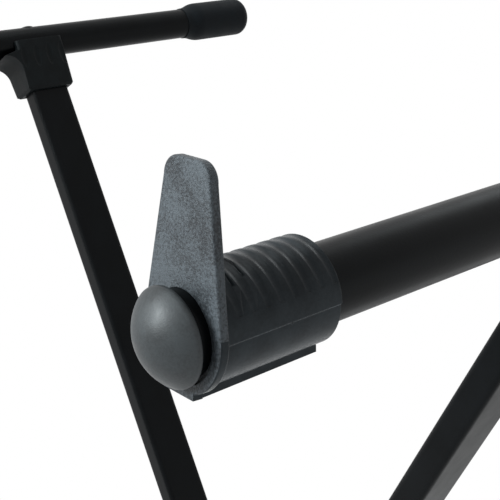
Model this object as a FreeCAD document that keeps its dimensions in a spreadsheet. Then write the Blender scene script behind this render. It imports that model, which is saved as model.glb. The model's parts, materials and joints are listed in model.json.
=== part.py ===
import FreeCAD, Part
import math
import os
import Sketcher
from FreeCAD import Placement, Rotation, Vector

# A folding X-frame keyboard stand.  +Z is up and +Y runs along the two arms, from the
# keyboard's front edge to its back.  The origin is on the floor, midway between the feet
# and in the plane between the two crossed legs.

# ---------------------------------------------------------------- driving dimensions
sizes = [
    # crossed legs, rectangular steel tube
    ("leg_angle", 27.6, "lean of each leg from upright, degrees"),
    ("leg_reach", 567.5, "pivot to the arm axis, and to the foot axis, along the leg"),
    ("leg_depth", 30.0, "leg tube along the arms"),
    ("leg_width", 15.5, "leg tube across the arms"),
    ("leg_wall", 1.5, "leg tube wall"),
    ("leg_round", 2.4, "leg tube outer corner radius"),
    ("leg_gap", 3.9, "space between the two legs"),
    # arms and feet, round steel tube
    ("arm_tube", 24.0, "arm tube diameter"),
    ("foot_tube", 24.0, "foot tube diameter"),
    ("tube_wall", 1.5, "wall of arm and foot tubes"),
    ("arm_front", 236.0, "centre plane to the front end of the arm tube"),
    ("arm_back", 222.0, "centre plane to the back end of the arm tube"),
    ("foot_half", 239.8, "half length of the foot tube"),
    # moulded bracket that joins a leg to a round tube
    ("bracket_wall", 3.0, "wall of the bracket's socket round the leg"),
    ("bracket_spread", 0.9, "extra half width of the bracket at its open end"),
    ("bracket_drop", 40.0, "tube axis to the open end of the socket"),
    ("bracket_round", 3.0, "rounding of the bracket's corners"),
    ("bracket_chamfer", 1.6, "chamfer round the open end"),
    ("saddle_wall", 3.5, "bracket wall beside the round tube"),
    ("saddle_half", 19.5, "half length of the bracket along the tube"),
    ("saddle_edge", 2.0, "saddle's rim below the tube axis"),
    ("cheek_start", 6.0, "tube axis to the top of the tapered sides"),
    ("gusset_reach", 12.0, "curved gusset under the tube, in front of the bracket"),
    ("gusset_top", 9.0, "tube axis to the gusset's root"),
    ("socket_floor", 15.0, "tube axis to the end of the leg"),
    ("flute_width", 5.5, "scooped hollows on the sides"),
    ("flute_length", 17.0, "length of those hollows"),
    ("flute_depth", 0.9, "depth of those hollows"),
    ("flute_centre", 15.5, "tube axis to the middle of those hollows"),
    ("flute_pitch", 10.7, "spacing of those hollows"),
    # through bolt of each bracket
    ("clamp_bolt", 6.0, "bolt through tube and bracket"),
    ("clamp_head", 12.0, "its low round head"),
    ("clamp_head_rise", 1.0, "height of that head above the tube"),
    ("clamp_bolt_end", 36.0, "tube axis to the end of the bolt"),
    ("block_height", 16.0, "threaded block inside the leg end"),
    # retainer: a sleeve on the arm with an upright fin that stops the keyboard
    ("fin_setback", 3.2, "front end of the arm tube to the fin"),
    ("fin_height", 46.3, "arm axis to the top of the fin"),
    ("fin_top_half", 9.7, "half width of the fin at its top"),
    ("fin_round", 5.5, "radius of the fin's upper corners"),
    ("fin_thick", 3.2, "fin thickness"),
    ("fin_lean", 5.9, "fin's lean towards the keyboard, degrees"),
    ("fin_edge", 0.8, "rounding of the fin's rim"),
    ("flange_radius", 16.6, "round lower part of the fin"),
    ("flange_recess", 13.8, "radius of the shallow step round the tube"),
    ("recess_depth", 0.8, "depth of that step"),
    ("sleeve_radius", 15.7, "lower half of the sleeve"),
    ("grip_radius", 16.2, "ribbed upper half of the sleeve"),
    ("grip_rise", 0.7, "the ribbed half's centre above the arm axis"),
    ("sleeve_end", 43.2, "fin's front face to the back end of the sleeve"),
    ("rib_pitch", 4.78, "spacing of the ribs"),
    ("rib_depth", 0.65, "depth of the hollows between ribs"),
    ("rib_hollow", 4.3, "width of those hollows"),
    ("rib_first", 8.2, "fin's front face to the first hollow"),
    ("rib_arc", 132.0, "how far round the sleeve the hollows run, degrees"),
    ("sole_half", 6.3, "half width of the flat sole"),
    ("sole_depth", 16.9, "arm axis to the underside of the sole"),
    ("sole_end", 42.6, "fin's front face to the back end of the sole"),
    # domed plug in the front end of an arm
    ("plug_radius", 14.0, "plug head"),
    ("plug_rim", 1.4, "straight rim of the head"),
    ("plug_dome", 7.4, "rise of the dome"),
    ("plug_skirt", 22.0, "length of the part inside the tube"),
    ("plug_wall", 2.0, "wall of that part"),
    # rubber bumper on the back end of an arm
    ("bumper_radius", 15.6, "outside radius of the bumper"),
    ("bumper_grip", 60.0, "length of the bumper on the tube"),
    ("bumper_flare", 16.0, "length of its swelling mouth"),
    ("bumper_mouth", 0.5, "thickness of the rim of the mouth"),
    ("bumper_end", 6.2, "thickness of its closed end"),
    ("bumper_round", 8.0, "radius of its end corner"),
    # rubber cap on each end of a foot tube
    ("cap_radius", 15.6, "outside radius of the cap"),
    ("cap_floor", 15.0, "foot axis to the flat underside of the cap"),
    ("cap_grip", 34.0, "length of the cap on the tube"),
    ("cap_end", 5.0, "thickness of its closed end"),
    ("cap_round", 5.0, "radius of its end corner"),
    # pivot
    ("pivot_bolt", 10.0, "pivot bolt diameter"),
    ("pivot_head", 9.0, "radius of the pivot bolt's round head"),
    ("pivot_head_rise", 5.0, "height of that head"),
    ("pivot_nut_flats", 16.0, "across the flats of the pivot nut"),
    ("pivot_nut_rise", 8.0, "thickness of the pivot nut"),
    ("pivot_washer", 11.0, "radius of the two outer washers"),
    ("washer_thick", 1.6, "thickness of those washers"),
    ("bush_radius", 6.8, "outside radius of the bushes in the legs"),
    ("bush_flange", 11.0, "radius of the bush's flange between the legs"),
    ("cover_radius", 14.0, "outside radius of the pivot covers"),
    ("cover_wall", 1.8, "wall of the pivot covers"),
    ("cover_rise", 14.0, "height of the pivot covers"),
    # height lock: a plate with holes on the front leg, a sprung pin on the rear leg
    ("plate_radius", 62.0, "index plate"),
    ("plate_thick", 2.5, "its thickness"),
    ("plate_clear", 1.2, "space round the bush's flange inside the plate"),
    ("plate_ring", 50.0, "radius of the ring of holes"),
    ("plate_rivet_ring", 26.0, "pivot to each of its rivets"),
    ("rivet_radius", 3.0, "rivet shank"),
    ("rivet_head", 5.0, "rivet head inside the leg"),
    ("rivet_head_rise", 1.6, "height of the rivet head"),
    ("pin_radius", 4.0, "lock pin"),
    ("pin_collar", 5.8, "collar that the spring pushes on"),
    ("pin_collar_thick", 2.5, "thickness of that collar"),
    ("pin_travel", 2.4, "how far the pin moves from parked to locked"),
    ("pin_parked", 0.5, "gap between the parked pin and the plate"),
    ("housing_radius", 9.5, "round lock housing"),
    ("housing_base", 12.0, "half width of the housing's foot, across the leg"),
    ("housing_foot", 3.0, "thickness of the housing's foot"),
    ("housing_rise", 22.0, "height of the housing"),
    ("housing_bore", 6.2, "bore for the spring"),
    ("housing_end", 3.0, "end wall of the housing"),
    ("housing_screw_reach", 17.0, "housing axis to each of its screws"),
    ("screw_radius", 2.0, "shank of the housing screws"),
    ("screw_head", 3.8, "head of the housing screws"),
    ("screw_head_rise", 2.2, "height of the screw heads"),
    ("screw_length", 7.0, "length of the screw shanks"),
    ("spring_wire", 1.0, "wall of the tube that the lock spring fills"),
    ("knob_radius", 14.0, "pull knob"),
    ("knob_length", 18.0, "length of the pull knob"),
    ("knob_neck", 8.0, "radius of the knob's neck"),
    ("knob_gap", 4.5, "housing to the parked knob"),
    ("knob_round", 3.0, "rounding of the knob's rim"),
    # clearances
    ("running", 0.08, "radial clearance of a turning or sliding fit"),
    ("seat", 0.05, "clearance of pieces that are fixed to each other"),
    ("bolt_play", 0.15, "radial clearance of a bolt in its holes"),
]
rib_count = 8
flute_count = 4
hole_angles = (-46.0, 0.0, 18.0, 36.0, 54.0)   # leg positions with a lock hole, from rest


class Measure:
    """A length or angle that keeps the formula it came from beside its value."""

    def __init__(self, formula, value):
        self.formula = formula
        self.value = value

    def __add__(self, other):
        other = measure(other)
        return Measure("(%s + %s)" % (self.formula, other.formula), self.value + other.value)

    def __sub__(self, other):
        other = measure(other)
        return Measure("(%s - %s)" % (self.formula, other.formula), self.value - other.value)

    def __mul__(self, other):
        other = measure(other)
        return Measure("(%s * %s)" % (self.formula, other.formula), self.value * other.value)

    def __truediv__(self, other):
        other = measure(other)
        return Measure("(%s / %s)" % (self.formula, other.formula), self.value / other.value)

    def __neg__(self):
        return Measure("(0 - %s)" % self.formula, -self.value)

    def __radd__(self, other):
        return measure(other) + self

    def __rsub__(self, other):
        return measure(other) - self

    def __rmul__(self, other):
        return measure(other) * self


def measure(number):
    if isinstance(number, Measure):
        return number
    return Measure("(%.6f)" % number, float(number))


def sine(angle):
    return Measure("sin(%s)" % angle.formula, math.sin(math.radians(angle.value)))


def cosine(angle):
    return Measure("cos(%s)" % angle.formula, math.cos(math.radians(angle.value)))


def root(number):
    return Measure("sqrt(%s)" % number.formula, math.sqrt(number.value))


def arc_tangent(ratio):
    return Measure("atan(%s)" % ratio.formula, math.degrees(math.atan(ratio.value)))


doc = FreeCAD.newDocument("keyboard_stand")
sheet = doc.addObject("Spreadsheet::Sheet", "Sizes")


class Table:
    """The driving dimensions by name, each a cell of the sheet."""


size = Table()
for row, (alias, number, note) in enumerate(sizes, start=1):
    sheet.set("A%d" % row, note)
    sheet.set("B%d" % row, str(number))
    sheet.setAlias("B%d" % row, alias)
    setattr(size, alias, Measure("Sizes.%s" % alias, number))
doc.recompute()


# ---------------------------------------------------------------- drawing helpers
def bind(item, field, number):
    item.setExpression(field, measure(number).formula)


def place(item, x=0.0, y=0.0, z=0.0, turn=0.0):
    """Put a finished piece at a point, turned about the direction of the arms."""
    item.Placement = Placement(Vector(0, 0, 0), Rotation(Vector(0, 1, 0), 10.0))
    bind(item, "Placement.Rotation.Angle", turn)
    bind(item, "Placement.Base.x", x)
    bind(item, "Placement.Base.y", y)
    bind(item, "Placement.Base.z", z)


def new_body(name):
    return doc.addObject("PartDesign::Body", name)


def new_sketch(body, plane, across=0.0, up=0.0, out=0.0, tilt=None):
    """A sketch on one of the body's own planes, moved or tilted from it."""
    sketch = body.newObject("Sketcher::SketchObject", body.Name + "_sketch")
    for feature in body.Origin.OriginFeatures:
        if feature.Role == plane:
            sketch.AttachmentSupport = (feature, "")
    sketch.MapMode = "FlatFace"
    sketch.AttachmentOffset = Placement(Vector(0, 0, 0), Rotation(Vector(1, 0, 0), 10.0))
    bind(sketch, "AttachmentOffset.Rotation.Angle", 0.0 if tilt is None else tilt)
    bind(sketch, "AttachmentOffset.Base.x", across)
    bind(sketch, "AttachmentOffset.Base.y", up)
    bind(sketch, "AttachmentOffset.Base.z", out)
    return sketch


def pin_point(sketch, curve, end, x, y):
    """Tie one end of a curve to its place, counted from the sketch's origin."""
    for kind, axis, number in (("DistanceX", -2, measure(x)), ("DistanceY", -1, measure(y))):
        if number.formula == measure(0).formula:
            sketch.addConstraint(Sketcher.Constraint("PointOnObject", curve, end, axis))
        elif number.value < 0:
            index = sketch.addConstraint(Sketcher.Constraint(kind, curve, end, -1, 1, -number.value))
            bind(sketch, "Constraints[%d]" % index, -number)
        else:
            index = sketch.addConstraint(Sketcher.Constraint(kind, -1, 1, curve, end, number.value))
            bind(sketch, "Constraints[%d]" % index, number)


def draw_outline(sketch, points, arcs=None):
    """A closed outline; arcs gives the radius of each curved side by its number,
    positive where it bulges to the right of the direction of travel."""
    arcs = arcs or {}
    corners = [Vector(measure(x).value, measure(y).value, 0) for x, y in points]
    count = len(points)
    curves = []
    for number in range(count):
        start = corners[number]
        finish = corners[(number + 1) % count]
        if number in arcs:
            chord = finish - start
            radius = abs(measure(arcs[number]).value)
            away = Vector(chord.y, -chord.x, 0).normalize()
            if measure(arcs[number]).value < 0:
                away = -away
            rise = radius - math.sqrt(max(radius ** 2 - chord.Length ** 2 / 4.0, 0.0))
            middle = (start + finish) * 0.5 + away * rise
            curves.append(sketch.addGeometry(Part.Arc(start, middle, finish)))
        else:
            curves.append(sketch.addGeometry(Part.LineSegment(start, finish)))
    starts = {}
    for number, curve in enumerate(curves):
        first = sketch.getPoint(curve, 1)
        starts[number] = 1 if first.distanceToPoint(corners[number]) < 1e-6 else 2
    for number, curve in enumerate(curves):
        after = (number + 1) % count
        near_end = starts[number]
        far_end = 3 - near_end
        sketch.addConstraint(Sketcher.Constraint("Coincident", curve, far_end,
                                                 curves[after], starts[after]))
        pin_point(sketch, curve, near_end, *points[number])
        if number in arcs:
            radius = measure(arcs[number])
            if radius.value < 0:
                radius = -radius
            index = sketch.addConstraint(Sketcher.Constraint("Radius", curve, radius.value))
            bind(sketch, "Constraints[%d]" % index, radius)


def draw_box(sketch, wide, high, x=0.0, y=0.0):
    half_wide = measure(wide) / 2
    half_high = measure(high) / 2
    draw_outline(sketch, [(x - half_wide, y - half_high), (x + half_wide, y - half_high),
                          (x + half_wide, y + half_high), (x - half_wide, y + half_high)])


def draw_circle(sketch, radius, x=0.0, y=0.0):
    radius = measure(radius)
    centre = Vector(measure(x).value, measure(y).value, 0)
    curve = sketch.addGeometry(Part.Circle(centre, Vector(0, 0, 1), radius.value))
    pin_point(sketch, curve, 3, x, y)
    index = sketch.addConstraint(Sketcher.Constraint("Radius", curve, radius.value))
    bind(sketch, "Constraints[%d]" % index, radius)


def feature(body, kind, sketch, length=None, backward=False, through=False, both=False):
    """A pad or pocket of a sketch."""
    item = body.newObject("PartDesign::" + kind, body.Name + "_" + kind.lower())
    item.Profile = sketch
    sketch.Visibility = False
    if through:
        item.Type = 1
    else:
        bind(item, "Length", length)
    item.Midplane = both
    item.Reversed = backward
    doc.recompute()
    return item


def turned(body, kind, sketch, axis, angle=None, both=False):
    """A revolution or groove of a sketch about one of its own axes."""
    item = body.newObject("PartDesign::" + kind, body.Name + "_" + kind.lower())
    item.Profile = sketch
    item.ReferenceAxis = (sketch, [axis])
    sketch.Visibility = False
    if angle is None:
        item.Angle = 360.0
    else:
        bind(item, "Angle", angle)
    item.Midplane = both
    doc.recompute()
    return item


def rounded(body, radius, chosen):
    """Round the edges of the body so far that the test picks."""
    base = body.Tip
    names = ["Edge%d" % (number + 1) for number, edge in enumerate(base.Shape.Edges)
             if chosen(edge)]
    item = body.newObject("PartDesign::Fillet", body.Name + "_fillet")
    item.Base = (base, names)
    bind(item, "Radius", radius)
    base.Visibility = False
    doc.recompute()
    return item


def chamfered(body, width, chosen):
    """Chamfer the edges of the body so far that the test picks."""
    base = body.Tip
    names = ["Edge%d" % (number + 1) for number, edge in enumerate(base.Shape.Edges)
             if chosen(edge)]
    item = body.newObject("PartDesign::Chamfer", body.Name + "_chamfer")
    item.Base = (base, names)
    bind(item, "Size", width)
    base.Visibility = False
    doc.recompute()
    return item


def along(edge, axis):
    """Whether an edge is straight and runs along an axis."""
    if not isinstance(edge.Curve, Part.Line):
        return False
    return abs(abs(edge.Curve.Direction.dot(axis)) - 1.0) < 1e-6


def rod(name, radius, length, x=0.0, y=0.0, z=0.0):
    """A plain cylinder that starts at a point and runs along +Y."""
    item = doc.addObject("Part::Cylinder", name)
    bind(item, "Radius", radius)
    bind(item, "Height", length)
    item.Placement = Placement(Vector(0, 0, 0), Rotation(Vector(1, 0, 0), -90.0))
    bind(item, "Placement.Base.x", x)
    bind(item, "Placement.Base.y", y)
    bind(item, "Placement.Base.z", z)
    return item


def upright(name, radius, length, y=0.0, z=0.0):
    """A plain cylinder that starts at a point and runs along +Z."""
    item = doc.addObject("Part::Cylinder", name)
    bind(item, "Radius", radius)
    bind(item, "Height", length)
    bind(item, "Placement.Base.y", y)
    bind(item, "Placement.Base.z", z)
    return item


def block(name, wide, deep, high, x=0.0, y=0.0, z=0.0):
    """A box centred on x and y that stands on z."""
    item = doc.addObject("Part::Box", name)
    bind(item, "Length", wide)
    bind(item, "Width", deep)
    bind(item, "Height", high)
    bind(item, "Placement.Base.x", x - measure(wide) / 2)
    bind(item, "Placement.Base.y", y - measure(deep) / 2)
    bind(item, "Placement.Base.z", z)
    return item


def joined(name, pieces):
    item = doc.addObject("Part::MultiFuse", name)
    item.Shapes = pieces
    return item


def cut(name, base, tools):
    item = doc.addObject("Part::Cut", name)
    item.Base = base
    item.Tool = tools[0] if len(tools) == 1 else joined(name + "_tools", tools)
    return item


finished = []


def finish(item, label):
    item.Label = label
    finished.append(item)
    return item


# ---------------------------------------------------------------- places worked out once
leg_y = (size.leg_depth + size.leg_gap) / 2
pivot_z = size.cap_floor + size.leg_reach * cosine(size.leg_angle)
arm_x = size.leg_reach * sine(size.leg_angle)
arm_z = pivot_z + size.leg_reach * cosine(size.leg_angle)
foot_x = size.leg_reach * sine(size.leg_angle)
foot_z = size.cap_floor
arm_r = size.arm_tube / 2
foot_r = size.foot_tube / 2
arm_inner = arm_r - size.tube_wall
foot_inner = foot_r - size.tube_wall
leg_outer_y = leg_y + size.leg_depth / 2
half_turn = measure(180.0)

# each end of a leg: the side of the stand, the leg's own plane and the turn that points
# the leg's end at the round tube
arm_ends = {
    "left": {"x": -arm_x, "y": leg_y, "turn": -size.leg_angle},
    "right": {"x": arm_x, "y": -leg_y, "turn": size.leg_angle},
}
foot_ends = {
    "left": {"x": -foot_x, "y": -leg_y, "turn": half_turn + size.leg_angle},
    "right": {"x": foot_x, "y": leg_y, "turn": half_turn - size.leg_angle},
}
legs = {
    "rear": {"y": leg_y, "turn": -size.leg_angle},
    "front": {"y": -leg_y, "turn": size.leg_angle},
}


# ---------------------------------------------------------------- legs
def make_leg(which):
    """Rectangular tube with its pivot at the local origin and its arm end up."""
    y = legs[which]["y"]
    low = size.leg_reach - size.socket_floor
    high = size.leg_reach - size.socket_floor
    body = new_body(which + "_leg_tube")
    sketch = new_sketch(body, "XY_Plane", out=-low)
    draw_box(sketch, size.leg_width, size.leg_depth, y=y)
    feature(body, "Pad", sketch, low + high)
    rounded(body, size.leg_round, lambda edge: along(edge, Vector(0, 0, 1)))
    hollow = new_sketch(body, "XY_Plane", out=-low)
    draw_box(hollow, size.leg_width - 2 * size.leg_wall, size.leg_depth - 2 * size.leg_wall, y=y)
    feature(body, "Pocket", hollow, low + high, backward=True)
    holes = [rod(which + "_leg_pivot_hole", size.bush_radius + size.seat, size.leg_depth * 2,
                 y=y - size.leg_depth)]
    if which == "rear":
        holes.append(rod("rear_leg_pin_hole", size.pin_radius + size.running, size.leg_depth * 2,
                         y=y - size.leg_depth, z=size.plate_ring))
        for side in (-1, 1):
            holes.append(rod("rear_leg_screw_hole", size.screw_radius + size.seat, size.leg_wall * 3,
                             y=leg_outer_y - 2 * size.leg_wall,
                             z=size.plate_ring + side * size.housing_screw_reach))
    else:
        for side in (-1, 1):
            holes.append(rod("front_leg_rivet_hole", size.rivet_radius + size.seat,
                             size.leg_wall * 3, y=-size.leg_gap / 2 - 2 * size.leg_wall,
                             z=side * size.plate_rivet_ring))
    leg = cut(which + "_leg", body, holes)
    place(leg, z=pivot_z, turn=legs[which]["turn"])
    return finish(leg, which + "_leg")


# ---------------------------------------------------------------- brackets and their bolts
def make_bracket(label, radius, end, z):
    """Moulding with a saddle for the round tube above and a socket for the leg below.
    Its local origin is on the tube's axis; the leg comes from below."""
    half = size.leg_width / 2 + size.bracket_wall + size.bracket_spread
    outer = radius + size.saddle_wall
    front = size.saddle_half + size.gusset_reach
    body = new_body(label + "_body")
    sketch = new_sketch(body, "XZ_Plane", out=front)
    draw_outline(sketch, [(outer, -size.saddle_edge), (-outer, -size.saddle_edge),
                          (-outer, -size.cheek_start), (-half, -size.bracket_drop),
                          (half, -size.bracket_drop), (outer, -size.cheek_start)])
    feature(body, "Pad", sketch, front + size.saddle_half, backward=True)
    # the front is cut back to the saddle's end, but for a gusset that curves up to the tube
    beside = new_sketch(body, "YZ_Plane")
    beyond = front + size.saddle_wall
    below = size.bracket_drop + size.saddle_wall
    draw_outline(beside, [(-beyond, radius), (-size.saddle_half, radius),
                          (-size.saddle_half, -size.gusset_top), (-front, -radius),
                          (-size.saddle_half, -radius - size.gusset_reach),
                          (-size.saddle_half, -below), (-beyond, -below)],
                 {3: -size.gusset_reach})
    feature(body, "Pocket", beside, 4 * outer, both=True)
    rounded(body, size.bracket_round,
            lambda edge: isinstance(edge.Curve, Part.Line)
            and abs(edge.Curve.Direction.z) > 0.5
            and edge.CenterOfMass.y > size.saddle_half.value - 0.01)
    rounded(body, size.bracket_round,
            lambda edge: isinstance(edge.Curve, Part.Line)
            and abs(edge.Curve.Direction.z) > 0.5
            and abs(edge.CenterOfMass.y + size.saddle_half.value) < 0.01
            and edge.CenterOfMass.z > -size.gusset_top.value)
    chamfered(body, size.bracket_chamfer,
              lambda edge: abs(edge.CenterOfMass.z + size.bracket_drop.value) < 0.01)
    bore = new_sketch(body, "XZ_Plane")
    draw_circle(bore, radius + size.seat)
    feature(body, "Pocket", bore, 4 * front, both=True)
    socket = new_sketch(body, "XY_Plane", out=-size.bracket_drop)
    draw_box(socket, size.leg_width + 2 * size.seat, size.leg_depth + 2 * size.seat)
    feature(body, "Pocket", socket, size.bracket_drop - size.socket_floor, backward=True)
    hole = new_sketch(body, "XY_Plane")
    draw_circle(hole, size.clamp_bolt / 2 + size.bolt_play)
    feature(body, "Pocket", hole, through=True)

    # scooped hollows along both tapered sides
    slope = arc_tangent((outer - half) / (size.bracket_drop - size.cheek_start))
    side_x = outer - (size.flute_centre - size.cheek_start) * (outer - half) \
        / (size.bracket_drop - size.cheek_start)
    thick = 2 * size.flute_depth
    sunk = root(measure(1.0) - (thick - size.flute_depth) * (thick - size.flute_depth)
                / (thick * thick))
    scoops = []
    for side in (-1, 1):
        for number in range(flute_count):
            scoop = doc.addObject("Part::Ellipsoid", label + "_scoop")
            bind(scoop, "Radius1", size.flute_length / 2 / sunk)
            bind(scoop, "Radius2", thick)
            bind(scoop, "Radius3", size.flute_width / 2 / sunk)
            place(scoop, x=side * (side_x + thick - size.flute_depth),
                  y=size.flute_pitch * (number - (flute_count - 1) / 2),
                  z=-size.flute_centre, turn=side * slope)
            scoops.append(scoop)
    item = cut(label, body, scoops)
    place(item, x=end["x"], y=end["y"], z=z, turn=end["turn"])
    return finish(item, label)


def make_clamp_bolt(label, radius, end, z):
    """Bolt with a low round head on the far side of the tube, screwed into the leg."""
    body = new_body(label)
    sketch = new_sketch(body, "YZ_Plane")
    top = radius + size.clamp_head_rise
    seat_z = root(radius * radius - size.clamp_head * size.clamp_head / 4)
    shank = size.clamp_bolt / 2
    head = size.clamp_head / 2
    draw_outline(sketch, [(0.0, -size.clamp_bolt_end), (shank, -size.clamp_bolt_end),
                          (shank, seat_z), (head, seat_z), (head, seat_z + size.clamp_head_rise),
                          (0.0, top)],
                 {4: (head * head + (top - seat_z - size.clamp_head_rise)
                      * (top - seat_z - size.clamp_head_rise))
                  / (2 * (top - seat_z - size.clamp_head_rise))})
    turned(body, "Revolution", sketch, "V_Axis")
    place(body, x=end["x"], y=end["y"], z=z, turn=end["turn"])
    return finish(body, label)


def make_leg_block(label, end, z):
    """Threaded block inside the leg end that takes the clamp bolt."""
    inner_wide = size.leg_width - 2 * size.leg_wall - 2 * size.seat
    inner_deep = size.leg_depth - 2 * size.leg_wall - 2 * size.seat
    body = block(label + "_blank", inner_wide, inner_deep, size.block_height,
                 z=-size.socket_floor - size.block_height - size.leg_wall)
    hole = upright(label + "_hole", size.clamp_bolt / 2 + size.seat, size.bracket_drop,
                   z=-size.bracket_drop)
    item = cut(label, body, [hole])
    place(item, x=end["x"], y=end["y"], z=z, turn=end["turn"])
    return finish(item, label)


# ---------------------------------------------------------------- round tubes
def make_tube(label, radius, inner, front, back, end, z):
    """Round tube along Y, drilled for the clamp bolt of its bracket and let in on the
    far side so that the bolt's head sits down."""
    body = new_body(label + "_tube")
    sketch = new_sketch(body, "XZ_Plane", out=front)
    draw_circle(sketch, radius)
    draw_circle(sketch, inner)
    feature(body, "Pad", sketch, front + back, backward=True)
    seat_z = root(radius * radius - size.clamp_head * size.clamp_head / 4)
    tools = [upright(label + "_hole", size.clamp_bolt / 2 + size.bolt_play, radius * 4,
                     y=end["y"], z=-2 * radius),
             upright(label + "_head_seat", size.clamp_head / 2 + size.seat, radius,
                     y=end["y"], z=seat_z - size.seat)]
    item = cut(label, body, tools)
    place(item, x=end["x"], z=z, turn=end["turn"])
    return item


def make_arm(side):
    end = arm_ends[side]
    item = make_tube(side + "_arm_tube", arm_r, arm_inner, size.arm_front, size.arm_back,
                     end, arm_z)
    return finish(item, side + "_arm_tube")


def make_foot(side):
    end = foot_ends[side]
    item = make_tube(side + "_foot_tube", foot_r, foot_inner, size.foot_half, size.foot_half,
                     end, foot_z)
    return finish(item, side + "_foot_tube")


# ---------------------------------------------------------------- retainers
def make_retainer(side):
    """Sleeve with an upright fin.  Local origin: arm axis, at the fin's front face."""
    label = side + "_retainer"
    body = new_body(label)
    base = size.flange_radius
    top_half = size.fin_top_half
    top = size.fin_height
    # the fin's sides are tangent to its round lower part
    taper = (base.value - top_half.value) / top.value
    meet_z = base * taper
    meet_x = base * math.sqrt(1.0 - taper ** 2)
    sole_z = root(base * base - size.sole_half * size.sole_half)
    fin = new_sketch(body, "XZ_Plane", tilt=-size.fin_lean)
    draw_outline(fin, [(size.sole_half, -size.sole_depth), (size.sole_half, -sole_z),
                       (meet_x, meet_z), (top_half, top - size.fin_round),
                       (top_half - size.fin_round, top), (size.fin_round - top_half, top),
                       (-top_half, top - size.fin_round), (-meet_x, meet_z),
                       (-size.sole_half, -sole_z), (-size.sole_half, -size.sole_depth)],
                 {1: base, 3: size.fin_round, 5: size.fin_round, 7: base})
    feature(body, "Pad", fin, size.fin_thick, backward=True)
    rounded(body, size.fin_edge, lambda edge: not (isinstance(edge.Curve, Part.Line)
                                                   and abs(edge.Curve.Direction.y) > 0.9)
            and edge.CenterOfMass.z > -sole_z.value)
    start = size.fin_thick / 2
    sleeve = new_sketch(body, "XZ_Plane", out=-start)
    draw_circle(sleeve, size.sleeve_radius)
    feature(body, "Pad", sleeve, size.sleeve_end - start, backward=True)
    grip = new_sketch(body, "XZ_Plane", out=-start)
    draw_outline(grip, [(size.grip_radius, size.grip_rise), (-size.grip_radius, size.grip_rise)],
                 {0: size.grip_radius * 1.0001})
    feature(body, "Pad", grip, size.sleeve_end - start, backward=True)
    sole = new_sketch(body, "XZ_Plane", out=-start)
    draw_box(sole, 2 * size.sole_half, size.sole_depth - arm_r,
             y=-(size.sole_depth + arm_r) / 2)
    feature(body, "Pad", sole, size.sole_end - start, backward=True)
    hollow = new_sketch(body, "YZ_Plane")
    crest = size.grip_radius + size.grip_rise
    depth = size.rib_depth
    half = size.rib_hollow / 2
    curve = (half * half + depth * depth) / (2 * depth)
    draw_circle(hollow, curve, x=size.rib_first, y=crest - depth + curve)
    groove = turned(body, "Groove", hollow, "H_Axis", size.rib_arc, both=True)
    ribs = body.newObject("PartDesign::LinearPattern", label + "_ribs")
    ribs.Originals = [groove]
    ribs.Direction = (hollow, ["H_Axis"])
    bind(ribs, "Length", size.rib_pitch * (rib_count - 1))
    ribs.Occurrences = rib_count
    body.Tip = ribs
    doc.recompute()
    step = new_sketch(body, "XZ_Plane", out=size.sole_depth, tilt=0.0)
    draw_circle(step, size.flange_recess)
    feature(body, "Pocket", step, size.sole_depth + size.recess_depth)
    bore = new_sketch(body, "XZ_Plane", out=size.sole_depth)
    draw_circle(bore, arm_r + size.running)
    feature(body, "Pocket", bore, size.sole_depth + 2 * size.sleeve_end)
    x = arm_x if side == "right" else -arm_x
    place(body, x=x, y=size.fin_setback - size.arm_front, z=arm_z)
    return finish(body, label)


# ---------------------------------------------------------------- plugs, bumpers, caps
def make_front_plug(side):
    """Domed plug: a head that overlaps the tube and a hollow skirt inside it.
    Local origin: arm axis, at the tube's front end; the dome points to -Y."""
    body = new_body(side + "_front_plug")
    sketch = new_sketch(body, "YZ_Plane")
    skirt = arm_inner - size.seat
    dome = (size.plug_radius * size.plug_radius + size.plug_dome * size.plug_dome) \
        / (2 * size.plug_dome)
    draw_outline(sketch, [(-size.plug_rim - size.plug_dome, 0.0), (-size.plug_rim, size.plug_radius),
                          (0.0, size.plug_radius), (0.0, skirt), (size.plug_skirt, skirt),
                          (size.plug_skirt, skirt - size.plug_wall), (0.0, skirt - size.plug_wall),
                          (0.0, 0.0)], {0: -dome})
    turned(body, "Revolution", sketch, "H_Axis")
    x = arm_x if side == "right" else -arm_x
    place(body, x=x, y=-size.arm_front, z=arm_z)
    return finish(body, side + "_front_plug")


def make_bumper(side):
    """Rubber cup over the back end of an arm.  Local origin: arm axis, at the tube's end."""
    body = new_body(side + "_rear_bumper")
    sketch = new_sketch(body, "YZ_Plane")
    inside = arm_r + size.seat
    outside = size.bumper_radius
    mouth = inside + size.bumper_mouth
    swell = outside - mouth
    # the mouth swells in an S of two equal arcs
    bend = (size.bumper_flare * size.bumper_flare + swell * swell) / (4 * swell)
    draw_outline(sketch, [(-size.bumper_grip, inside), (-size.bumper_grip, mouth),
                          (size.bumper_flare / 2 - size.bumper_grip, mouth + swell / 2),
                          (size.bumper_flare - size.bumper_grip, outside),
                          (size.bumper_end - size.bumper_round, outside),
                          (size.bumper_end, outside - size.bumper_round),
                          (size.bumper_end, 0.0), (0.0, 0.0), (0.0, inside)],
                 {1: bend, 2: -bend, 4: -size.bumper_round})
    turned(body, "Revolution", sketch, "H_Axis")
    x = arm_x if side == "right" else -arm_x
    place(body, x=x, y=size.arm_back, z=arm_z)
    return finish(body, side + "_rear_bumper")


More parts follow.
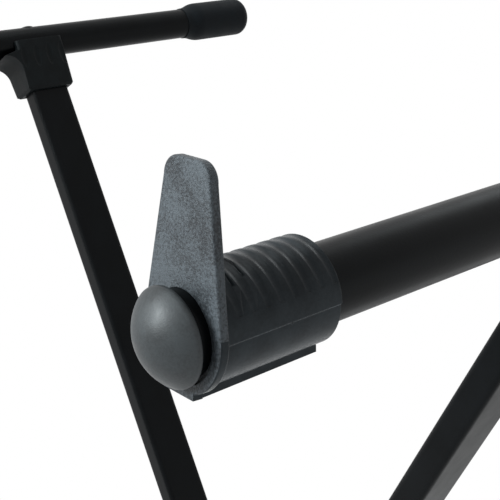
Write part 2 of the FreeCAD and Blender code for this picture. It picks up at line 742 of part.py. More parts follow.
def make_foot_caps(side):
    """Two rubber cups, one on each end of a foot tube, with a flat underside."""
    cups = []
    for name, direction in (("front", -1), ("back", 1)):
        body = new_body("%s_%s_cap" % (side, name))
        sketch = new_sketch(body, "YZ_Plane")
        inside = foot_r + size.seat
        outside = size.cap_radius
        tube_end = size.foot_half * direction
        closed = tube_end + size.cap_end * direction
        draw_outline(sketch, [(tube_end, 0.0), (tube_end, inside),
                              (tube_end - size.cap_grip * direction, inside),
                              (tube_end - size.cap_grip * direction, outside),
                              (closed - size.cap_round * direction, outside),
                              (closed, outside - size.cap_round), (closed, 0.0)],
                     {4: size.cap_round * -direction})
        turned(body, "Revolution", sketch, "H_Axis")
        below = new_sketch(body, "XY_Plane", out=-size.cap_floor)
        draw_box(below, 4 * size.cap_radius, 4 * size.foot_half)
        feature(body, "Pocket", below, size.cap_radius)
        cups.append(body)
    pair = doc.addObject("Part::Compound", side + "_foot_caps")
    pair.Links = cups
    x = foot_x if side == "right" else -foot_x
    place(pair, x=x, z=foot_z)
    return finish(pair, side + "_foot_caps")


# ---------------------------------------------------------------- pivot
def make_pivot():
    shank = size.pivot_bolt / 2
    outside = leg_outer_y + size.washer_thick
    body = new_body("pivot_bolt")
    sketch = new_sketch(body, "YZ_Plane")
    back = outside + size.pivot_nut_rise + size.pivot_bolt / 4
    front = -outside - size.pivot_head_rise
    dome = (size.pivot_head * size.pivot_head + size.pivot_head_rise * size.pivot_head_rise) \
        / (2 * size.pivot_head_rise)
    draw_outline(sketch, [(front, 0.0), (-outside, size.pivot_head), (-outside, shank),
                          (back, shank), (back, 0.0)], {0: -dome})
    turned(body, "Revolution", sketch, "H_Axis")
    place(body, z=pivot_z, turn=legs["rear"]["turn"])
    finish(body, "pivot_bolt")

    nut = new_body("pivot_nut")
    hexagon = new_sketch(nut, "XZ_Plane", out=-outside)
    corner = size.pivot_nut_flats / math.sqrt(3.0)
    draw_outline(hexagon, [(corner * math.cos(math.radians(60 * number)),
                            corner * math.sin(math.radians(60 * number))) for number in range(6)])
    feature(nut, "Pad", hexagon, size.pivot_nut_rise, backward=True)
    hole = new_sketch(nut, "XZ_Plane", out=-outside)
    draw_circle(hole, shank + size.seat)
    feature(nut, "Pocket", hole, size.pivot_nut_rise)
    place(nut, z=pivot_z, turn=legs["rear"]["turn"])
    finish(nut, "pivot_nut")

    for which, y in (("front", -outside), ("rear", leg_outer_y)):
        disc = rod(which + "_washer_disc", size.pivot_washer, size.washer_thick, y=y)
        centre = rod(which + "_washer_hole", shank + size.bolt_play, size.washer_thick * 3,
                     y=y - size.washer_thick)
        washer = cut(which + "_pivot_washer", disc, [centre])
        place(washer, z=pivot_z, turn=legs["rear"]["turn"])
        finish(washer, which + "_pivot_washer")

    # a bush in each leg: the front one turns on the bolt, and its flange keeps the legs apart
    flange_thick = size.leg_gap - size.running
    tube = rod("front_bush_tube", size.bush_radius, size.leg_depth, y=-leg_outer_y)
    bore = rod("front_bush_bore", shank + size.running, size.leg_depth * 3,
               y=-leg_outer_y - size.leg_depth)
    bush = cut("front_pivot_bush", tube, [bore])
    place(bush, z=pivot_z, turn=legs["front"]["turn"])
    finish(bush, "front_pivot_bush")

    tube = rod("rear_bush_tube", size.bush_radius, size.leg_depth, y=size.leg_gap / 2)
    flange = rod("rear_bush_flange", size.bush_flange, flange_thick,
                 y=size.leg_gap / 2 - flange_thick)
    bore = rod("rear_bush_bore", shank + size.seat, size.leg_depth * 3, y=-size.leg_depth)
    bush = cut("rear_pivot_bush", joined("rear_bush_blank", [tube, flange]), [bore])
    place(bush, z=pivot_z, turn=legs["rear"]["turn"])
    finish(bush, "rear_pivot_bush")

    # a moulded cover snaps over the bolt's head and over the nut; the front one turns with
    # the front leg, clear of the bolt
    for which, start, direction in (("front", -leg_outer_y, -1), ("rear", leg_outer_y, 1)):
        cover = new_body(which + "_pivot_cover")
        sketch = new_sketch(cover, "YZ_Plane")
        inside = size.cover_radius - size.cover_wall
        rise = size.cover_rise * direction
        roof = (size.cover_rise - size.cover_wall) * direction
        bend = size.cover_wall
        draw_outline(sketch, [(start, inside), (start, size.cover_radius),
                              (start + rise - bend * direction, size.cover_radius),
                              (start + rise, size.cover_radius - bend), (start + rise, 0.0),
                              (start + roof, 0.0), (start + roof, inside)],
                     {2: bend * -direction})
        turned(cover, "Revolution", sketch, "H_Axis")
        place(cover, z=pivot_z, turn=legs[which]["turn"])
        finish(cover, which + "_pivot_cover")


# ---------------------------------------------------------------- height lock
def make_index_plate():
    """Round plate on the front leg, with a hole for each leg position."""
    body = new_body("index_plate")
    face = -size.leg_gap / 2
    sketch = new_sketch(body, "XZ_Plane", out=-face)
    draw_circle(sketch, size.plate_radius)
    draw_circle(sketch, size.bush_flange + size.plate_clear)
    feature(body, "Pad", sketch, size.plate_thick, backward=True)
    rivets = new_sketch(body, "XZ_Plane", out=-face)
    for side in (-1, 1):
        draw_circle(rivets, size.rivet_radius + size.seat, y=side * size.plate_rivet_ring)
    feature(body, "Pocket", rivets, size.plate_thick)
    # at rest the rear leg lies two leg angles to the left of the front leg
    holes = new_sketch(body, "XZ_Plane", out=-face)
    for angle in hole_angles:
        lean = 2 * size.leg_angle + angle
        draw_circle(holes, size.pin_radius + size.running,
                    x=-(size.plate_ring * sine(lean)), y=size.plate_ring * cosine(lean))
    feature(body, "Pocket", holes, size.plate_thick)
    place(body, z=pivot_z, turn=legs["front"]["turn"])
    finish(body, "index_plate")

    shanks = []
    for side in (-1, 1):
        z = side * size.plate_rivet_ring
        shank = rod("plate_rivet_shank", size.rivet_radius, size.leg_wall + size.plate_thick,
                    y=face - size.leg_wall, z=z)
        head = rod("plate_rivet_head", size.rivet_head, size.rivet_head_rise,
                   y=face - size.leg_wall - size.rivet_head_rise, z=z)
        shanks.append(joined("plate_rivet", [shank, head]))
    pair = doc.addObject("Part::Compound", "index_plate_rivets")
    pair.Links = shanks
    place(pair, z=pivot_z, turn=legs["front"]["turn"])
    finish(pair, "index_plate_rivets")


def make_lock():
    """Sprung pin in a housing on the back of the rear leg, shown pulled out and parked."""
    z = size.plate_ring
    base_y = leg_outer_y
    long_half = size.housing_screw_reach + size.screw_head + size.seat * 4
    foot = block("lock_housing_foot", size.leg_width, size.housing_foot, 2 * long_half,
                 y=base_y + size.housing_foot / 2, z=z - long_half)
    barrel = rod("lock_housing_barrel", size.housing_radius, size.housing_rise, y=base_y, z=z)
    bore = rod("lock_housing_bore", size.housing_bore, size.housing_rise - size.housing_end,
               y=base_y, z=z)
    outlet = rod("lock_housing_outlet", size.pin_radius + size.running, size.housing_rise * 2,
                 y=base_y, z=z)
    holes = [bore, outlet]
    for side in (-1, 1):
        holes.append(rod("lock_housing_screw_hole", size.screw_radius + size.seat,
                         size.housing_foot * 3, y=base_y - size.housing_foot,
                         z=z + side * size.housing_screw_reach))
    housing = cut("lock_housing", joined("lock_housing_blank", [foot, barrel]), holes)
    place(housing, z=pivot_z, turn=legs["rear"]["turn"])
    finish(housing, "lock_housing")

    screws = []
    for side in (-1, 1):
        screw_z = z + side * size.housing_screw_reach
        head_y = base_y + size.housing_foot
        shank = rod("lock_screw_shank", size.screw_radius, size.screw_length,
                    y=head_y - size.screw_length, z=screw_z)
        head = rod("lock_screw_head", size.screw_head, size.screw_head_rise, y=head_y, z=screw_z)
        screws.append(joined("lock_screw", [shank, head]))
    pair = doc.addObject("Part::Compound", "lock_housing_screws")
    pair.Links = screws
    place(pair, z=pivot_z, turn=legs["rear"]["turn"])
    finish(pair, "lock_housing_screws")

    plate_face = size.plate_thick - size.leg_gap / 2
    tip = plate_face + size.pin_parked
    knob_y = base_y + size.housing_rise + size.knob_gap
    pin_end = knob_y + size.knob_length / 2
    collar_y = base_y + size.pin_travel + size.pin_parked
    pin = joined("lock_pin", [
        rod("lock_pin_shank", size.pin_radius, pin_end - tip, y=tip, z=z),
        rod("lock_pin_collar", size.pin_collar, size.pin_collar_thick, y=collar_y, z=z)])
    place(pin, z=pivot_z, turn=legs["rear"]["turn"])
    finish(pin, "lock_pin")

    spring_start = collar_y + size.pin_collar_thick
    spring_end = base_y + size.housing_rise - size.housing_end
    coil_outside = size.pin_radius + size.running + size.spring_wire
    outside = rod("lock_spring_outside", coil_outside, spring_end - spring_start,
                  y=spring_start, z=z)
    inside = rod("lock_spring_inside", size.pin_radius + size.running,
                 size.housing_rise * 2, y=base_y, z=z)
    spring = cut("lock_spring", outside, [inside])
    place(spring, z=pivot_z, turn=legs["rear"]["turn"])
    finish(spring, "lock_spring")

    knob = new_body("lock_knob_shape")
    sketch = new_sketch(knob, "YZ_Plane", up=z)
    neck_end = knob_y + size.knob_length * 0.35
    back = knob_y + size.knob_length
    draw_outline(sketch, [(knob_y, 0.0), (knob_y, size.knob_neck), (neck_end, size.knob_neck),
                          (neck_end, size.knob_radius), (back - size.knob_round, size.knob_radius),
                          (back, size.knob_radius - size.knob_round), (back, 0.0)],
                 {4: -size.knob_round})
    turned(knob, "Revolution", sketch, "H_Axis")
    socket = rod("lock_knob_socket", size.pin_radius + size.seat, pin_end - knob_y + size.knob_gap,
                 y=knob_y - size.knob_gap, z=z)
    item = cut("lock_knob", knob, [socket])
    place(item, z=pivot_z, turn=legs["rear"]["turn"])
    finish(item, "lock_knob")


# ---------------------------------------------------------------- build the stand
for which in legs:
    make_leg(which)
for side, end in arm_ends.items():
    make_arm(side)
    make_bracket(side + "_arm_bracket", arm_r, end, arm_z)
    make_clamp_bolt(side + "_arm_bolt", arm_r, end, arm_z)
    make_leg_block(side + "_arm_nut_block", end, arm_z)
    make_retainer(side)
    make_front_plug(side)
    make_bumper(side)
for side, end in foot_ends.items():
    make_foot(side)
    make_bracket(side + "_foot_bracket", foot_r, end, foot_z)
    make_clamp_bolt(side + "_foot_bolt", foot_r, end, foot_z)
    make_leg_block(side + "_foot_nut_block", end, foot_z)
    make_foot_caps(side)
make_pivot()
make_index_plate()
make_lock()
doc.recompute()

# ---------------------------------------------------------------- check and write
for item in doc.Objects:
    if "Invalid" in item.State or "Error" in item.State:
        raise RuntimeError("%s did not rebuild: %s" % (item.Label, item.State))
for item in finished:
    if item.Shape.isNull() or not item.Shape.isValid():
        raise RuntimeError("%s has no valid shape" % item.Label)
os.makedirs("parts", exist_ok=True)
for item in finished:
    item.Shape.exportStep(os.path.join("parts", item.Label + ".step"))
    box = item.Shape.BoundBox
    print("%-22s solids %d volume %9.1f  x %7.1f %7.1f  y %7.1f %7.1f  z %7.1f %7.1f" % (
        item.Label, len(item.Shape.Solids), item.Shape.Volume,
        box.XMin, box.XMax, box.YMin, box.YMax, box.ZMin, box.ZMax))
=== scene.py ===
import json
import math
import bpy
from mathutils import Matrix, Vector


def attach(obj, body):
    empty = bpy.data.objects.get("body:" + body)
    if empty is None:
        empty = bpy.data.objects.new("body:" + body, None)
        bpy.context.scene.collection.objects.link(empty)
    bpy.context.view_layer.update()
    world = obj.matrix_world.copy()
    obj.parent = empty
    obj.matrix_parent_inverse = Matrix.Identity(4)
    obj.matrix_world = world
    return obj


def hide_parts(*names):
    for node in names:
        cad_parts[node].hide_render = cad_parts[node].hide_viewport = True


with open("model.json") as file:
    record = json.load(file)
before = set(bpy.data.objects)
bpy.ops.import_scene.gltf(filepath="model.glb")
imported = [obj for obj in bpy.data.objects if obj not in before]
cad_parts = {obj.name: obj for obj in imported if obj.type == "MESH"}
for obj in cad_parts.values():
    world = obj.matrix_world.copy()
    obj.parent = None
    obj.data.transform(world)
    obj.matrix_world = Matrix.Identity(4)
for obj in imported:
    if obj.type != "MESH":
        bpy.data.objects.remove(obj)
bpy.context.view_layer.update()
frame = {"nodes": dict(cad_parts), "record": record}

mm = 0.001


# small helpers for working by hand
def deselectAll():
    if bpy.context.mode != "OBJECT":
        bpy.ops.object.mode_set(mode="OBJECT")
    bpy.ops.object.select_all(action="DESELECT")


def pick(obj):
    deselectAll()
    obj.select_set(True)
    bpy.context.view_layer.objects.active = obj


def settle(obj):
    # the place goes into the mesh, so the object stays at the origin
    pick(obj)
    bpy.ops.object.transform_apply(location=True, rotation=True, scale=True)
    return obj


def brick(name, low, high):
    deselectAll()
    middle = [(a + b) / 2 for a, b in zip(low, high)]
    bpy.ops.mesh.primitive_cube_add(size=1, location=middle)
    obj = bpy.context.active_object
    obj.name = name
    obj.scale = [b - a for a, b in zip(low, high)]
    return settle(obj)


def unite(obj, other):
    pick(obj)
    change = obj.modifiers.new("unite", "BOOLEAN")
    change.operation = "UNION"
    change.solver = "EXACT"
    change.object = other
    bpy.ops.object.modifier_apply(modifier=change.name)
    bpy.data.objects.remove(other)
    return obj


def duplicate(obj, name):
    twin = obj.copy()
    twin.data = obj.data.copy()
    twin.name = name
    bpy.context.collection.objects.link(twin)
    return twin


# angles in degrees: edges sharper than edgeAngle are rounded, smaller steps than smoothAngle
# are shaded as one surface
rounding = {"segments": 3, "edgeAngle": 38, "smoothAngle": 32, "flatWeight": 80,
            "mergeWithin": 0.02 * mm, "flatWithin": 0.5}


def bevelEdges(obj, width, angle):
    pick(obj)
    change = obj.modifiers.new("round", "BEVEL")
    change.width = width
    change.segments = rounding["segments"]
    change.limit_method = "ANGLE"
    change.angle_limit = math.radians(angle)
    change.harden_normals = False
    bpy.ops.object.modifier_apply(modifier=change.name)
    return obj


def smooth(obj, angle=rounding["smoothAngle"]):
    # flat faces keep their own normals, so roundings don't bend the light on them
    pick(obj)
    bpy.ops.object.shade_smooth_by_angle(angle=math.radians(angle))
    change = obj.modifiers.new("even", "WEIGHTED_NORMAL")
    change.mode = "FACE_AREA"
    change.weight = rounding["flatWeight"]
    change.keep_sharp = True
    bpy.ops.object.modifier_apply(modifier=change.name)
    return obj


# small helpers for shader nodes
def fillIn(node, values):
    # a number or colour is set on its socket, another node's output is linked to it
    for socket, value in values.items():
        if isinstance(value, bpy.types.NodeSocket):
            node.id_data.links.new(value, node.inputs[socket])
        else:
            node.inputs[socket].default_value = value


def addNode(tree, kind, values=None, **settings):
    node = tree.nodes.new("ShaderNode" + kind)
    for name, value in settings.items():
        setattr(node, name, value)
    fillIn(node, values or {})
    return node


def ramp(tree, value, start, end, first=0, last=1):
    # carries start..end over to first..last and holds the ends
    return addNode(tree, "MapRange", {"Value": value, "From Min": start, "From Max": end,
                                      "To Min": first, "To Max": last}).outputs["Result"]


def reckon(tree, operation, *values, clamp=False):
    return addNode(tree, "Math", dict(enumerate(values)), operation=operation,
                   use_clamp=clamp).outputs["Value"]


def vectorNumber(tree, operation, *values):
    # the vector operations that give a single number
    return addNode(tree, "VectorMath", dict(enumerate(values)),
                   operation=operation).outputs["Value"]


def mixColours(tree, share, first, second):
    # each end is a plain colour or another node's output
    ends = [end if isinstance(end, bpy.types.NodeSocket) else (*end, 1)
            for end in (first, second)]
    return addNode(tree, "Mix", {"Factor": share, "A": ends[0], "B": ends[1]},
                   data_type="RGBA").outputs["Result"]


def mixShaders(tree, share, first, second):
    return addNode(tree, "MixShader", {"Fac": share, 1: first, 2: second}).outputs["Shader"]


def seenDirectly(tree):
    # 1 for the camera's rays, also by way of a mirror or through glass
    path = addNode(tree, "LightPath").outputs
    turned = reckon(tree, "MAXIMUM", path["Is Glossy Ray"], path["Is Transmission Ray"])
    return reckon(tree, "MAXIMUM", path["Is Camera Ray"], turned)


def startMaterial(name):
    material = bpy.data.materials.new(name)
    material.use_nodes = True
    tree = material.node_tree
    tree.nodes.clear()
    shader = addNode(tree, "BsdfPrincipled")
    output = addNode(tree, "OutputMaterial", {"Surface": shader.outputs["BSDF"]})
    return material, shader, output


# what all the finishes share, the ranges being those of the noise or of the rounded edge
surface = {"cloudDetail": 5, "cloudRoughness": 0.6, "cloudRange": (0.36, 0.64),
           "speckScale": 1500, "speckDetail": 3, "speckRange": (0.35, 0.65),
           "edgeSamples": 6, "edgeRange": (0.995, 0.80), "cellSmoothness": 0.6,
           "fineShare": 0.55, "fineDetail": 6, "fineRoughness": 0.65, "bumpDepth": 0.2 * mm,
           "glossRange": (0.3, 0.7)}


def grainyMaterial(name, look):
    # base colour that varies, edges rubbed lighter, a grain or orange peel in the surface
    material, shader, output = startMaterial(name)
    tree = material.node_tree
    place = addNode(tree, "TexCoord").outputs["Object"]
    cloud = addNode(tree, "TexNoise", {
        "Vector": place, "Scale": look["cloudScale"], "Detail": surface["cloudDetail"],
        "Roughness": surface["cloudRoughness"]}).outputs["Fac"]
    specks = addNode(tree, "TexNoise", {
        "Vector": place, "Scale": surface["speckScale"],
        "Detail": surface["speckDetail"]}).outputs["Fac"]
    spread = ramp(tree, cloud, *surface["cloudRange"])
    strewn = ramp(tree, specks, *surface["speckRange"], -look["speck"] / 2, look["speck"] / 2)
    mottle = reckon(tree, "ADD", spread, strewn, clamp=True)
    shade = mixColours(tree, mottle, look["dark"], look["light"])

    # edges: where the rounded normal leaves the true one
    rounded = addNode(tree, "Bevel", {"Radius": look["edge"]},
                      samples=surface["edgeSamples"]).outputs["Normal"]
    flat = addNode(tree, "NewGeometry").outputs["Normal"]
    compare = vectorNumber(tree, "DOT_PRODUCT", rounded, flat)
    edge = ramp(tree, compare, *surface["edgeRange"], 0, look["wear"])
    rub = reckon(tree, "MULTIPLY", edge, cloud)
    worn = mixColours(tree, rub, shade, look["rubbed"])

    # grain: soft cells with a finer noise over them
    cells = addNode(tree, "TexVoronoi", {
        "Vector": place, "Scale": look["grainScale"],
        "Smoothness": surface["cellSmoothness"]}, feature="SMOOTH_F1").outputs["Distance"]
    fine = addNode(tree, "TexNoise", {
        "Vector": place, "Scale": look["grainScale"] * surface["fineShare"],
        "Detail": surface["fineDetail"],
        "Roughness": surface["fineRoughness"]}).outputs["Fac"]
    bump = addNode(tree, "Bump", {
        "Strength": look["grain"], "Distance": surface["bumpDepth"],
        "Height": reckon(tree, "ADD", cells, fine), "Normal": rounded}).outputs["Normal"]

    gloss = ramp(tree, cloud, *surface["glossRange"], look["roughness"] - look["roughnessVary"],
                 look["roughness"] + look["roughnessVary"])
    fillIn(shader, {"Base Color": worn, "Normal": bump, "Roughness": gloss,
                    "Metallic": look["metal"], "Specular IOR Level": look["specular"]})
    return material


def paint(obj, material):
    obj.data.materials.clear()
    obj.data.materials.append(material)
    return obj


coatLook = {"dark": (0.0012, 0.0017, 0.0021), "light": (0.0024, 0.0031, 0.0037), "speck": 0.2,
            "rubbed": (0.014, 0.016, 0.018), "cloudScale": 55, "edge": 3.2 * mm, "wear": 0.25,
            "grainScale": 1500, "grain": 0.08, "roughness": 0.34, "roughnessVary": 0.04,
            "metal": 0.0, "specular": 0.076}
stopLook = {"dark": (0.0230, 0.0268, 0.0300), "light": (0.0370, 0.0425, 0.0470), "speck": 0.3,
            "rubbed": (0.12, 0.13, 0.135), "cloudScale": 130, "edge": 0.35 * mm, "wear": 0.6,
            "grainScale": 2400, "grain": 0.14, "roughness": 0.23, "roughnessVary": 0.04,
            "metal": 0.0, "specular": 0.08}
# duller, grainier finish for the stop, painted paler: painted light on its front faces and a
# painted highlight along its seam
stopPaintedLitLook = {"dark": (0.022, 0.0245, 0.028), "light": (0.084, 0.094, 0.104), "speck": 1.0,
                "rubbed": (0.15, 0.165, 0.175), "cloudScale": 60, "edge": 0.35 * mm, "wear": 0.5,
                "grainScale": 4000, "grain": 0.62, "roughness": 0.42, "roughnessVary": 0.08,
                "metal": 0.0, "specular": 0.24}
plugLook = {"dark": (0.0140, 0.0165, 0.0180), "light": (0.0300, 0.0345, 0.0370), "speck": 0.6,
            "rubbed": (0.07, 0.075, 0.078), "cloudScale": 110, "edge": 0.4 * mm, "wear": 0.3,
            "grainScale": 4000, "grain": 0.16, "roughness": 0.48, "roughnessVary": 0.12,
            "metal": 0.0, "specular": 0.4}
mouldedLook = {"dark": (0.0026, 0.0036, 0.0040), "light": (0.0060, 0.0077, 0.0084), "speck": 0.3,
               "rubbed": (0.030, 0.036, 0.039), "cloudScale": 120, "edge": 0.6 * mm, "wear": 0.3,
               "grainScale": 2200, "grain": 0.25, "roughness": 0.47, "roughnessVary": 0.07,
               "metal": 0.0, "specular": 0.09}
rubberLook = {"dark": (0.0030, 0.0043, 0.0056), "light": (0.0062, 0.0082, 0.0100), "speck": 0.3,
              "rubbed": (0.02, 0.025, 0.028), "cloudScale": 90, "edge": 0.8 * mm, "wear": 0.3,
              "grainScale": 1800, "grain": 0.3, "roughness": 0.58, "roughnessVary": 0.08,
              "metal": 0.0, "specular": 0.09}
steelLook = {"dark": (0.42, 0.42, 0.43), "light": (0.58, 0.58, 0.57), "speck": 0.2,
             "rubbed": (0.75, 0.75, 0.74), "cloudScale": 300, "edge": 0.3 * mm, "wear": 0.5,
             "grainScale": 2500, "grain": 0.12, "roughness": 0.32, "roughnessVary": 0.08,
             "metal": 1.0, "specular": 0.5}
darkSteelLook = {"dark": (0.0060, 0.0066, 0.0072), "light": (0.0120, 0.0130, 0.0140), "speck": 0.3,
                 "rubbed": (0.12, 0.12, 0.12), "cloudScale": 200, "edge": 0.35 * mm, "wear": 0.6,
                 "grainScale": 2200, "grain": 0.12, "roughness": 0.38, "roughnessVary": 0.06,
                 "metal": 0.0, "specular": 0.5}
nylonLook = {"dark": (0.60, 0.59, 0.55), "light": (0.76, 0.75, 0.71), "speck": 0.2,
             "rubbed": (0.8, 0.8, 0.78), "cloudScale": 200, "edge": 0.3 * mm, "wear": 0.3,
             "grainScale": 2000, "grain": 0.15, "roughness": 0.45, "roughnessVary": 0.06,
             "metal": 0.0, "specular": 0.5}

coat = grainyMaterial("satinCoat", coatLook)
stopPlastic = grainyMaterial("stopPlastic", stopLook)
stopPaintedLitPlastic = grainyMaterial("stopPaintedLitPlastic", stopPaintedLitLook)
plugPlastic = grainyMaterial("plugPlastic", plugLook)
moulded = grainyMaterial("mouldedPlastic", mouldedLook)
rubber = grainyMaterial("bumperRubber", rubberLook)
steel = grainyMaterial("zincSteel", steelLook)
darkSteel = grainyMaterial("blackSteel", darkSteelLook)
nylon = grainyMaterial("nylonBush", nylonLook)
finishes = {"coated_steel": coat, "moulded_plastic": moulded, "black_rubber": rubber,
            "plain_steel": steel, "dark_steel": darkSteel, "bush_plastic": nylon}
slotOf = {part["node"]: part["material_slot"] for part in frame["record"]["subparts"]}
bodyOf = {node: body for body, nodes in frame["record"]["behaviour"]["bodies"].items()
          for node in nodes}
for node, obj in frame["nodes"].items():
    paint(obj, finishes[slotOf[node]])
print("materials on", len(frame["nodes"]), "frame pieces")


# softened copies of the moulded pieces: each edge gets the radius given here, as a mould leaves it
softened = {
    "left_arm_bracket": 0.7 * mm, "right_arm_bracket": 0.7 * mm,
    "left_foot_bracket": 0.7 * mm, "right_foot_bracket": 0.7 * mm,
    "left_rear_bumper": 0.5 * mm, "right_rear_bumper": 0.5 * mm,
    "front_pivot_cover": 0.4 * mm, "rear_pivot_cover": 0.4 * mm,
    "lock_housing": 0.5 * mm, "lock_knob": 0.6 * mm,
    "left_foot_caps": 0.6 * mm, "right_foot_caps": 0.6 * mm,
}


def cleanCopy(piece):
    # merged, and the flats made single faces, so that the edges take a rounding
    pick(piece)
    bpy.ops.object.mode_set(mode="EDIT")
    bpy.ops.mesh.select_all(action="SELECT")
    bpy.ops.mesh.remove_doubles(threshold=rounding["mergeWithin"])
    bpy.ops.mesh.dissolve_limited(angle_limit=math.radians(rounding["flatWithin"]))
    bpy.ops.object.mode_set(mode="OBJECT")
    return piece


def softenedPiece(node, width, angle=rounding["edgeAngle"]):
    piece = cleanCopy(duplicate(frame["nodes"][node], node + "_soft"))
    bevelEdges(piece, width, angle)
    smooth(piece)
    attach(piece, bodyOf[node])
    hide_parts(node)
    return piece


for node, width in softened.items():
    softenedPiece(node, width)
print("softened", len(softened), "moulded pieces")


# the stops: an upright fin on a ribbed sleeve, softened copies of the frame's own, with the
# mould's parting line and its nub added to them; seam and nub are measured from the stop's front
# end and from the arm's middle
stop = {"armX": 262.92 * mm, "armZ": 1020.84 * mm, "front": -232.8 * mm,
        "edge": 0.32 * mm, "edgeAngle": 60, "smoothAngle": 30,
        "seamOut": 15.72 * mm, "seamHalf": 0.15 * mm, "seamRise": 0.45 * mm,
        "seamStart": 3.4 * mm, "seamEnd": 43.1 * mm, "paintAbove": 1.1, "paintOut": 0.5,
        "nub": 0.4 * mm, "nubAt": 25.0 * mm, "nubDrop": 0.22 * mm, "nubTurn": (0.31, 0.17, 0.23),
        "nubSegments": 20, "nubRings": 12, "finFrom": 17.2 * mm, "frontFacing": -0.7}


def makeNub(across):
    deselectAll()
    bpy.ops.mesh.primitive_uv_sphere_add(
        segments=stop["nubSegments"], ring_count=stop["nubRings"], radius=stop["nub"],
        rotation=stop["nubTurn"],
        location=(across, stop["front"] + stop["nubAt"],
                  stop["armZ"] + stop["seamRise"] - stop["nubDrop"]))
    return settle(bpy.context.active_object)


def makeStop(side, sign):
    piece = duplicate(frame["nodes"][side + "_retainer"], side + "_stop")
    cleanCopy(piece)
    bevelEdges(piece, stop["edge"], stop["edgeAngle"])
    for way in (-1, 1):
        across = sign * stop["armX"] + way * stop["seamOut"]
        seam = brick("stopSeam",
                     (across - stop["seamHalf"], stop["front"] + stop["seamStart"],
                      stop["armZ"] + stop["seamRise"] - stop["seamHalf"]),
                     (across + stop["seamHalf"], stop["front"] + stop["seamEnd"],
                      stop["armZ"] + stop["seamRise"] + stop["seamHalf"]))
        unite(piece, seam)
        unite(piece, makeNub(across))
    smooth(piece, stop["smoothAngle"])
    # the fin, the front-facing faces and the seam are duller and grainier than the sleeve, and
    # painted paler: painted light where the key lamp falls on the front, a painted highlight along
    # the seam
    paint(piece, stopPlastic)
    piece.data.materials.append(stopPaintedLitPlastic)
    for face in piece.data.polygons:
        rise = face.center.z - stop["armZ"] - stop["seamRise"]
        out = abs(face.center.x - sign * stop["armX"])
        onSeam = (abs(rise) < stop["seamHalf"] * stop["paintAbove"]
                  and out > stop["seamOut"] - stop["seamHalf"] * stop["paintOut"]
                  and face.center.y > stop["front"] + stop["seamStart"])
        finOrLitFront = (face.normal.y < stop["frontFacing"]
                 or face.center.z > stop["armZ"] + stop["finFrom"])
        # painted light: faces turned to the key lamp, the fin and the seam take the paler material
        face.material_index = 1 if finOrLitFront or onSeam else 0
    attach(piece, side + "_stop")
    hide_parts(side + "_retainer")
    return piece


for side, sign in (("left", -1), ("right", 1)):
    makeStop(side, sign)
print("stops made")


# domed plugs in the front ends of the arms
plug = {"edge": 0.5 * mm, "edgeAngle": 26}
for side in ("left", "right"):
    piece = softenedPiece(side + "_front_plug", plug["edge"], plug["edgeAngle"])
    paint(piece, plugPlastic)
print("plugs made")


# the floor; places along it are in metres from the stand's middle
tint = (0.88, 0.97, 1.0)
sheet = {"size": 60, "level": -0.5 * mm, "colour": (0.09, 0.095, 0.10), "roughness": 0.9,
         "dim": 0.03, "dimAt": -1.6, "bright": 1.0, "brightAt": 1.3,
         "nearAt": 0.45, "farAt": 1.0, "farShare": 0.10,
         "beyond": 2.2, "beyondFrom": 1.6, "beyondTo": 3.4, "leftAt": -1.5, "rightAt": 0.0,
         "pale": (0.8, 0.8, 0.8), "paleGlow": 0.3, "paleShare": 0.35, "paleFrom": 0.6,
         "paleTo": 1.1}
deselectAll()
bpy.ops.mesh.primitive_plane_add(size=sheet["size"], location=(0, 0, sheet["level"]))
floor = bpy.context.active_object
floor.name = "floor"
floorPaint, floorShader, floorOutput = startMaterial("paleFloor")
tree = floorPaint.node_tree
place = addNode(tree, "TexCoord").outputs["Object"]
spot = addNode(tree, "SeparateXYZ", {"Vector": place}).outputs

# it lights the object as a sheet that is brighter on the right and darker at the back, with a
# bright part far behind on the left
lit = ramp(tree, spot["X"], sheet["dimAt"], sheet["brightAt"], sheet["dim"], sheet["bright"])
back = ramp(tree, spot["Y"], sheet["nearAt"], sheet["farAt"], 1, sheet["farShare"])
beyond = ramp(tree, spot["Y"], sheet["beyondFrom"], sheet["beyondTo"], 0, sheet["beyond"])
leftward = ramp(tree, spot["X"], sheet["leftAt"], sheet["rightAt"], 1, 0)
glow = reckon(tree, "MULTIPLY_ADD", beyond, leftward, reckon(tree, "MULTIPLY", lit, back))
fillIn(floorShader, {"Base Color": (*sheet["colour"], 1), "Roughness": sheet["roughness"],
                     "Emission Color": (*tint, 1), "Emission Strength": glow})

# seen directly it is clear to the white backdrop, also where a folded foot swings below it, and
# near the stand a pale sheet in it keeps the shadow
clear = addNode(tree, "BsdfTransparent").outputs["BSDF"]
pale = addNode(tree, "BsdfPrincipled", {
    "Base Color": (*sheet["pale"], 1), "Roughness": sheet["roughness"], "Specular IOR Level": 0,
    "Emission Color": (1, 1, 1, 1), "Emission Strength": sheet["paleGlow"]}).outputs["BSDF"]
paleShare = ramp(tree, vectorNumber(tree, "LENGTH", place), sheet["paleFrom"], sheet["paleTo"],
                 sheet["paleShare"], 0)
seenFloor = mixShaders(tree, paleShare, clear, pale)
fillIn(floorOutput, {"Surface": mixShaders(tree, seenDirectly(tree),
                                           floorShader.outputs["BSDF"], seenFloor)})
paint(floor, floorPaint)


# the room: a gradient over the sky that is brightest towards one side
room = {"brightSide": (-0.85, -0.15, 0.50), "strength": 0.44, "shadow": (0.02, 0.02, 0.022),
        "fullAt": 0.9, "band": 0.8, "bandTop": 0.22, "bandBack": (0.3, 0.8),
        "bandLeft": (-0.35, 0.05)}
world = bpy.data.worlds.new("studio")
bpy.context.scene.world = world
world.use_nodes = True
tree = world.node_tree
tree.nodes.clear()
direction = addNode(tree, "TexCoord").outputs["Generated"]
sideways = vectorNumber(tree, "DOT_PRODUCT", direction, room["brightSide"])

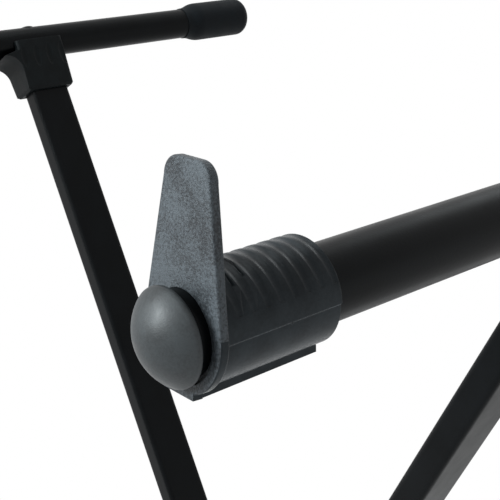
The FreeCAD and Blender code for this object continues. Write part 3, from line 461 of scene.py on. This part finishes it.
# a bright band low down behind the stand on the left, where the far edges catch light
heading = addNode(tree, "SeparateXYZ", {"Vector": direction}).outputs
low = ramp(tree, heading["Z"], 0, room["bandTop"], 1, 0)
behind = ramp(tree, heading["Y"], *room["bandBack"], 0, room["band"])
leftBand = ramp(tree, heading["X"], *room["bandLeft"], 1, 0)
band = reckon(tree, "MULTIPLY_ADD", low, reckon(tree, "MULTIPLY", behind, leftBand), sideways)
fall = addNode(tree, "ValToRGB", {"Fac": band})
start, end = fall.color_ramp.elements
start.position = 0
start.color = (*room["shadow"], 1)
end.position = room["fullAt"]
end.color = (*tint, 1)
roomLight = addNode(tree, "Background", {"Color": fall.outputs["Color"],
                                         "Strength": room["strength"]}).outputs["Background"]
white = addNode(tree, "Background", {"Color": (1, 1, 1, 1),
                                     "Strength": 1}).outputs["Background"]
addNode(tree, "OutputWorld", {"Surface": mixShaders(tree, seenDirectly(tree), roomLight, white)})


lamps = {
    "keyLamp": {"place": (-0.80, -2.05, 2.15), "target": (0.1, -0.1, 0.95), "size": 1.5,
                "power": 100},
    "topLamp": {"place": (-0.2, 0.2, 2.5), "target": (0.1, 0.0, 0.9), "size": 0.9, "power": 5},
    "rimLamp": {"place": (-0.6, 2.0, 2.3), "target": (0.1, 0.0, 0.9), "size": 0.8, "power": 3.5},
    "sideLamp": {"place": (1.81, 0.87, 0.80), "target": (0.26, -0.21, 1.03), "size": 1.0,
                 "power": 1.3},
}


def makeLamp(name, lamp):
    deselectAll()
    bpy.ops.object.light_add(type="AREA", location=lamp["place"])
    light = bpy.context.active_object
    light.name = name
    light.data.shape = "SQUARE"
    light.data.size = lamp["size"]
    light.data.energy = lamp["power"]
    light.data.color = tint
    aim = Vector(lamp["target"]) - Vector(lamp["place"])
    light.rotation_euler = aim.to_track_quat("-Z", "Y").to_euler()
    return light


for name, lamp in lamps.items():
    makeLamp(name, lamp)

# the photograph's own view, with the turns in degrees
camera = {"place": (0.46485, -0.37741, 1.12972), "turn": 50.0689, "down": 19.2670,
          "roll": -1.766, "lens": 74.79, "sensor": 36, "nearest": 0.01, "farthest": 100}
bpy.ops.object.camera_add()
eye = bpy.context.active_object
eye.data.sensor_width = camera["sensor"]
eye.data.lens = camera["lens"]
eye.data.clip_start = camera["nearest"]
eye.data.clip_end = camera["farthest"]
eye.matrix_world = (Matrix.Translation(camera["place"])
                    @ Matrix.Rotation(math.radians(camera["turn"]), 4, "Z")
                    @ Matrix.Rotation(math.radians(90 - camera["down"]), 4, "X")
                    @ Matrix.Rotation(math.radians(camera["roll"]), 4, "Z"))
bpy.context.scene.camera = eye
bpy.context.scene.view_settings.view_transform = "Standard"
print("floor, lamps and camera set")
